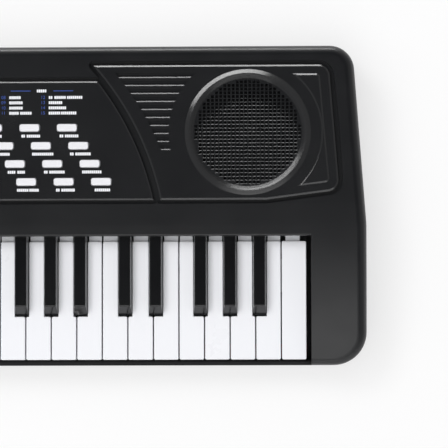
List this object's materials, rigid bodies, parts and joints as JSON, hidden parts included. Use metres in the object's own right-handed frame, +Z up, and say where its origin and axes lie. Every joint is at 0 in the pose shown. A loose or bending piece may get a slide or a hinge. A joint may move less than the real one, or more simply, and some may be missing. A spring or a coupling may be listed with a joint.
{
  "type": "toy electronic keyboard",
  "caption": "Small battery-powered toy electronic keyboard with hinged mini keys, two round speaker grilles, a push-button panel and a rear power switch.",
  "frame": {"origin": "on the table under the middle of the casing", "axes": "+X along the keys from bass to treble, +Y from the player to the rear, +Z up"},
  "size_m": [0.413, 0.193, 0.0503],
  "materials": {
    "case_plastic": "satin moulded ABS",
    "speaker_panel_plastic": "fine satin moulded ABS",
    "control_panel_plastic": "smooth satin ABS with printed marks",
    "white_key_plastic": "glossy white ABS",
    "black_key_plastic": "glossy black ABS",
    "button_rubber": "off-white silicone rubber",
    "frame_plastic": "dark grey ABS",
    "felt": "dense red felt",
    "circuit_board": "paper laminate board",
    "contact_silicone": "grey silicone rubber",
    "speaker_steel": "black painted pressing",
    "speaker_paper": "black paper cone",
    "magnet": "ferrite",
    "contact_steel": "nickel plated spring steel",
    "socket_plastic": "black plastic",
    "foot_rubber": "black rubber",
    "switch_plastic": "black plastic",
    "door_plastic": "satin moulded ABS"
  },
  "bodies": {
    "casing": {"upper_case": "case_plastic", "lower_case": "case_plastic", "right_speaker_panel": "speaker_panel_plastic", "left_speaker_panel": "speaker_panel_plastic", "control_panel": "control_panel_plastic", "key_frame": "frame_plastic", "key_felt": "felt", "contact_board": "circuit_board", "contact_rubber": "contact_silicone", "main_board": "circuit_board", "speaker_frames": "speaker_steel", "speaker_cones": "speaker_paper", "speaker_magnets": "magnet", "battery_contacts": "contact_steel", "rear_sockets": "socket_plastic", "rubber_feet": "foot_rubber"},
    "white_key_c1": {"white_key_c1": "white_key_plastic"},
    "white_key_d1": {"white_key_d1": "white_key_plastic"},
    "white_key_e1": {"white_key_e1": "white_key_plastic"},
    "white_key_f1": {"white_key_f1": "white_key_plastic"},
    "white_key_g1": {"white_key_g1": "white_key_plastic"},
    "white_key_a1": {"white_key_a1": "white_key_plastic"},
    "white_key_b1": {"white_key_b1": "white_key_plastic"},
    "white_key_c2": {"white_key_c2": "white_key_plastic"},
    "white_key_d2": {"white_key_d2": "white_key_plastic"},
    "white_key_e2": {"white_key_e2": "white_key_plastic"},
    "white_key_f2": {"white_key_f2": "white_key_plastic"},
    "white_key_g2": {"white_key_g2": "white_key_plastic"},
    "white_key_a2": {"white_key_a2": "white_key_plastic"},
    "white_key_b2": {"white_key_b2": "white_key_plastic"},
    "white_key_c3": {"white_key_c3": "white_key_plastic"},
    "white_key_d3": {"white_key_d3": "white_key_plastic"},
    "white_key_e3": {"white_key_e3": "white_key_plastic"},
    "white_key_f3": {"white_key_f3": "white_key_plastic"},
    "white_key_g3": {"white_key_g3": "white_key_plastic"},
    "white_key_a3": {"white_key_a3": "white_key_plastic"},
    "white_key_b3": {"white_key_b3": "white_key_plastic"},
    "white_key_c4": {"white_key_c4": "white_key_plastic"},
    "black_key_c_sharp1": {"black_key_c_sharp1": "black_key_plastic"},
    "black_key_d_sharp1": {"black_key_d_sharp1": "black_key_plastic"},
    "black_key_f_sharp1": {"black_key_f_sharp1": "black_key_plastic"},
    "black_key_g_sharp1": {"black_key_g_sharp1": "black_key_plastic"},
    "black_key_a_sharp1": {"black_key_a_sharp1": "black_key_plastic"},
    "black_key_c_sharp2": {"black_key_c_sharp2": "black_key_plastic"},
    "black_key_d_sharp2": {"black_key_d_sharp2": "black_key_plastic"},
    "black_key_f_sharp2": {"black_key_f_sharp2": "black_key_plastic"},
    "black_key_g_sharp2": {"black_key_g_sharp2": "black_key_plastic"},
    "black_key_a_sharp2": {"black_key_a_sharp2": "black_key_plastic"},
    "black_key_c_sharp3": {"black_key_c_sharp3": "black_key_plastic"},
    "black_key_d_sharp3": {"black_key_d_sharp3": "black_key_plastic"},
    "black_key_f_sharp3": {"black_key_f_sharp3": "black_key_plastic"},
    "black_key_g_sharp3": {"black_key_g_sharp3": "black_key_plastic"},
    "black_key_a_sharp3": {"black_key_a_sharp3": "black_key_plastic"},
    "button_row_1": {"button_row_1": "button_rubber"},
    "button_row_2": {"button_row_2": "button_rubber"},
    "button_row_3": {"button_row_3": "button_rubber"},
    "button_row_4": {"button_row_4": "button_rubber"},
    "power_switch": {"power_switch": "switch_plastic"},
    "battery_door": {"battery_door": "door_plastic"}
  },
  "joints": [
    {"name": "button_row_1_press", "type": "slide", "parent": "casing", "child": "button_row_1", "axis": [0, 0, -1], "range_m": [0, 0.001], "stiffness_N_per_m": 300, "springref_m": -0.002},
    {"name": "button_row_2_press", "type": "slide", "parent": "casing", "child": "button_row_2", "axis": [0, 0, -1], "range_m": [0, 0.001], "stiffness_N_per_m": 300, "springref_m": -0.002},
    {"name": "button_row_3_press", "type": "slide", "parent": "casing", "child": "button_row_3", "axis": [0, 0, -1], "range_m": [0, 0.001], "stiffness_N_per_m": 300, "springref_m": -0.002},
    {"name": "button_row_4_press", "type": "slide", "parent": "casing", "child": "button_row_4", "axis": [0, 0, -1], "range_m": [0, 0.001], "stiffness_N_per_m": 300, "springref_m": -0.002},
    {"name": "power_switch_slide", "type": "slide", "parent": "casing", "child": "power_switch", "axis": [1, 0, 0], "range_m": [0, 0.003]},
    {"name": "battery_door_hinge", "type": "hinge", "parent": "casing", "child": "battery_door", "pos_m": [0, 0.06235, 0.0035], "axis": [1, 0, 0], "range_deg": [0, 80]},
    {"name": "black_key_c_sharp1_hinge", "type": "hinge", "parent": "casing", "child": "black_key_c_sharp1", "pos_m": [-0.15657, -0.0029, 0.028], "axis": [1, 0, 0], "range_deg": [0, 2.8], "stiffness_Nm_per_rad": 0.5, "springref_deg": -2.86},
    {"name": "black_key_d_sharp1_hinge", "type": "hinge", "parent": "casing", "child": "black_key_d_sharp1", "pos_m": [-0.13793, -0.0029, 0.028], "axis": [1, 0, 0], "range_deg": [0, 2.8], "stiffness_Nm_per_rad": 0.5, "springref_deg": -2.86},
    {"name": "black_key_f_sharp1_hinge", "type": "hinge", "parent": "casing", "child": "black_key_f_sharp1", "pos_m": [-0.11085, -0.0029, 0.028], "axis": [1, 0, 0], "range_deg": [0, 2.8], "stiffness_Nm_per_rad": 0.5, "springref_deg": -2.86},
    {"name": "black_key_g_sharp1_hinge", "type": "hinge", "parent": "casing", "child": "black_key_g_sharp1", "pos_m": [-0.093, -0.0029, 0.028], "axis": [1, 0, 0], "range_deg": [0, 2.8], "stiffness_Nm_per_rad": 0.5, "springref_deg": -2.86},
    {"name": "black_key_a_sharp1_hinge", "type": "hinge", "parent": "casing", "child": "black_key_a_sharp1", "pos_m": [-0.07515, -0.0029, 0.028], "axis": [1, 0, 0], "range_deg": [0, 2.8], "stiffness_Nm_per_rad": 0.5, "springref_deg": -2.86},
    {"name": "black_key_c_sharp2_hinge", "type": "hinge", "parent": "casing", "child": "black_key_c_sharp2", "pos_m": [-0.04807, -0.0029, 0.028], "axis": [1, 0, 0], "range_deg": [0, 2.8], "stiffness_Nm_per_rad": 0.5, "springref_deg": -2.86},
    {"name": "black_key_d_sharp2_hinge", "type": "hinge", "parent": "casing", "child": "black_key_d_sharp2", "pos_m": [-0.02943, -0.0029, 0.028], "axis": [1, 0, 0], "range_deg": [0, 2.8], "stiffness_Nm_per_rad": 0.5, "springref_deg": -2.86},
    {"name": "black_key_f_sharp2_hinge", "type": "hinge", "parent": "casing", "child": "black_key_f_sharp2", "pos_m": [-0.00235, -0.0029, 0.028], "axis": [1, 0, 0], "range_deg": [0, 2.8], "stiffness_Nm_per_rad": 0.5, "springref_deg": -2.86},
    {"name": "black_key_g_sharp2_hinge", "type": "hinge", "parent": "casing", "child": "black_key_g_sharp2", "pos_m": [0.0155, -0.0029, 0.028], "axis": [1, 0, 0], "range_deg": [0, 2.8], "stiffness_Nm_per_rad": 0.5, "springref_deg": -2.86},
    {"name": "black_key_a_sharp2_hinge", "type": "hinge", "parent": "casing", "child": "black_key_a_sharp2", "pos_m": [0.03335, -0.0029, 0.028], "axis": [1, 0, 0], "range_deg": [0, 2.8], "stiffness_Nm_per_rad": 0.5, "springref_deg": -2.86},
    {"name": "black_key_c_sharp3_hinge", "type": "hinge", "parent": "casing", "child": "black_key_c_sharp3", "pos_m": [0.06043, -0.0029, 0.028], "axis": [1, 0, 0], "range_deg": [0, 2.8], "stiffness_Nm_per_rad": 0.5, "springref_deg": -2.86},
    {"name": "black_key_d_sharp3_hinge", "type": "hinge", "parent": "casing", "child": "black_key_d_sharp3", "pos_m": [0.07907, -0.0029, 0.028], "axis": [1, 0, 0], "range_deg": [0, 2.8], "stiffness_Nm_per_rad": 0.5, "springref_deg": -2.86},
    {"name": "black_key_f_sharp3_hinge", "type": "hinge", "parent": "casing", "child": "black_key_f_sharp3", "pos_m": [0.10615, -0.0029, 0.028], "axis": [1, 0, 0], "range_deg": [0, 2.8], "stiffness_Nm_per_rad": 0.5, "springref_deg": -2.86},
    {"name": "black_key_g_sharp3_hinge", "type": "hinge", "parent": "casing", "child": "black_key_g_sharp3", "pos_m": [0.124, -0.0029, 0.028], "axis": [1, 0, 0], "range_deg": [0, 2.8], "stiffness_Nm_per_rad": 0.5, "springref_deg": -2.86},
    {"name": "black_key_a_sharp3_hinge", "type": "hinge", "parent": "casing", "child": "black_key_a_sharp3", "pos_m": [0.14185, -0.0029, 0.028], "axis": [1, 0, 0], "range_deg": [0, 2.8], "stiffness_Nm_per_rad": 0.5, "springref_deg": -2.86},
    {"name": "white_key_c1_hinge", "type": "hinge", "parent": "casing", "child": "white_key_c1", "pos_m": [-0.16571, -0.0029, 0.028], "axis": [1, 0, 0], "range_deg": [0, 2.8], "stiffness_Nm_per_rad": 0.5, "springref_deg": -2.86},
    {"name": "white_key_d1_hinge", "type": "hinge", "parent": "casing", "child": "white_key_d1", "pos_m": [-0.14725, -0.0029, 0.028], "axis": [1, 0, 0], "range_deg": [0, 2.8], "stiffness_Nm_per_rad": 0.5, "springref_deg": -2.86},
    {"name": "white_key_e1_hinge", "type": "hinge", "parent": "casing", "child": "white_key_e1", "pos_m": [-0.12879, -0.0029, 0.028], "axis": [1, 0, 0], "range_deg": [0, 2.8], "stiffness_Nm_per_rad": 0.5, "springref_deg": -2.86},
    {"name": "white_key_f1_hinge", "type": "hinge", "parent": "casing", "child": "white_key_f1", "pos_m": [-0.1196, -0.0029, 0.028], "axis": [1, 0, 0], "range_deg": [0, 2.8], "stiffness_Nm_per_rad": 0.5, "springref_deg": -2.86},
    {"name": "white_key_g1_hinge", "type": "hinge", "parent": "casing", "child": "white_key_g1", "pos_m": [-0.10193, -0.0029, 0.028], "axis": [1, 0, 0], "range_deg": [0, 2.8], "stiffness_Nm_per_rad": 0.5, "springref_deg": -2.86},
    {"name": "white_key_a1_hinge", "type": "hinge", "parent": "casing", "child": "white_key_a1", "pos_m": [-0.08407, -0.0029, 0.028], "axis": [1, 0, 0], "range_deg": [0, 2.8], "stiffness_Nm_per_rad": 0.5, "springref_deg": -2.86},
    {"name": "white_key_b1_hinge", "type": "hinge", "parent": "casing", "child": "white_key_b1", "pos_m": [-0.0664, -0.0029, 0.028], "axis": [1, 0, 0], "range_deg": [0, 2.8], "stiffness_Nm_per_rad": 0.5, "springref_deg": -2.86},
    {"name": "white_key_c2_hinge", "type": "hinge", "parent": "casing", "child": "white_key_c2", "pos_m": [-0.05721, -0.0029, 0.028], "axis": [1, 0, 0], "range_deg": [0, 2.8], "stiffness_Nm_per_rad": 0.5, "springref_deg": -2.86},
    {"name": "white_key_d2_hinge", "type": "hinge", "parent": "casing", "child": "white_key_d2", "pos_m": [-0.03875, -0.0029, 0.028], "axis": [1, 0, 0], "range_deg": [0, 2.8], "stiffness_Nm_per_rad": 0.5, "springref_deg": -2.86},
    {"name": "white_key_e2_hinge", "type": "hinge", "parent": "casing", "child": "white_key_e2", "pos_m": [-0.02029, -0.0029, 0.028], "axis": [1, 0, 0], "range_deg": [0, 2.8], "stiffness_Nm_per_rad": 0.5, "springref_deg": -2.86},
    {"name": "white_key_f2_hinge", "type": "hinge", "parent": "casing", "child": "white_key_f2", "pos_m": [-0.0111, -0.0029, 0.028], "axis": [1, 0, 0], "range_deg": [0, 2.8], "stiffness_Nm_per_rad": 0.5, "springref_deg": -2.86},
    {"name": "white_key_g2_hinge", "type": "hinge", "parent": "casing", "child": "white_key_g2", "pos_m": [0.00658, -0.0029, 0.028], "axis": [1, 0, 0], "range_deg": [0, 2.8], "stiffness_Nm_per_rad": 0.5, "springref_deg": -2.86},
    {"name": "white_key_a2_hinge", "type": "hinge", "parent": "casing", "child": "white_key_a2", "pos_m": [0.02442, -0.0029, 0.028], "axis": [1, 0, 0], "range_deg": [0, 2.8], "stiffness_Nm_per_rad": 0.5, "springref_deg": -2.86},
    {"name": "white_key_b2_hinge", "type": "hinge", "parent": "casing", "child": "white_key_b2", "pos_m": [0.0421, -0.0029, 0.028], "axis": [1, 0, 0], "range_deg": [0, 2.8], "stiffness_Nm_per_rad": 0.5, "springref_deg": -2.86},
    {"name": "white_key_c3_hinge", "type": "hinge", "parent": "casing", "child": "white_key_c3", "pos_m": [0.05129, -0.0029, 0.028], "axis": [1, 0, 0], "range_deg": [0, 2.8], "stiffness_Nm_per_rad": 0.5, "springref_deg": -2.86},
    {"name": "white_key_d3_hinge", "type": "hinge", "parent": "casing", "child": "white_key_d3", "pos_m": [0.06975, -0.0029, 0.028], "axis": [1, 0, 0], "range_deg": [0, 2.8], "stiffness_Nm_per_rad": 0.5, "springref_deg": -2.86},
    {"name": "white_key_e3_hinge", "type": "hinge", "parent": "casing", "child": "white_key_e3", "pos_m": [0.08821, -0.0029, 0.028], "axis": [1, 0, 0], "range_deg": [0, 2.8], "stiffness_Nm_per_rad": 0.5, "springref_deg": -2.86},
    {"name": "white_key_f3_hinge", "type": "hinge", "parent": "casing", "child": "white_key_f3", "pos_m": [0.0974, -0.0029, 0.028], "axis": [1, 0, 0], "range_deg": [0, 2.8], "stiffness_Nm_per_rad": 0.5, "springref_deg": -2.86},
    {"name": "white_key_g3_hinge", "type": "hinge", "parent": "casing", "child": "white_key_g3", "pos_m": [0.11507, -0.0029, 0.028], "axis": [1, 0, 0], "range_deg": [0, 2.8], "stiffness_Nm_per_rad": 0.5, "springref_deg": -2.86},
    {"name": "white_key_a3_hinge", "type": "hinge", "parent": "casing", "child": "white_key_a3", "pos_m": [0.13292, -0.0029, 0.028], "axis": [1, 0, 0], "range_deg": [0, 2.8], "stiffness_Nm_per_rad": 0.5, "springref_deg": -2.86},
    {"name": "white_key_b3_hinge", "type": "hinge", "parent": "casing", "child": "white_key_b3", "pos_m": [0.1506, -0.0029, 0.028], "axis": [1, 0, 0], "range_deg": [0, 2.8], "stiffness_Nm_per_rad": 0.5, "springref_deg": -2.86},
    {"name": "white_key_c4_hinge", "type": "hinge", "parent": "casing", "child": "white_key_c4", "pos_m": [0.16275, -0.0029, 0.028], "axis": [1, 0, 0], "range_deg": [0, 2.8], "stiffness_Nm_per_rad": 0.5, "springref_deg": -2.86}
  ]
}
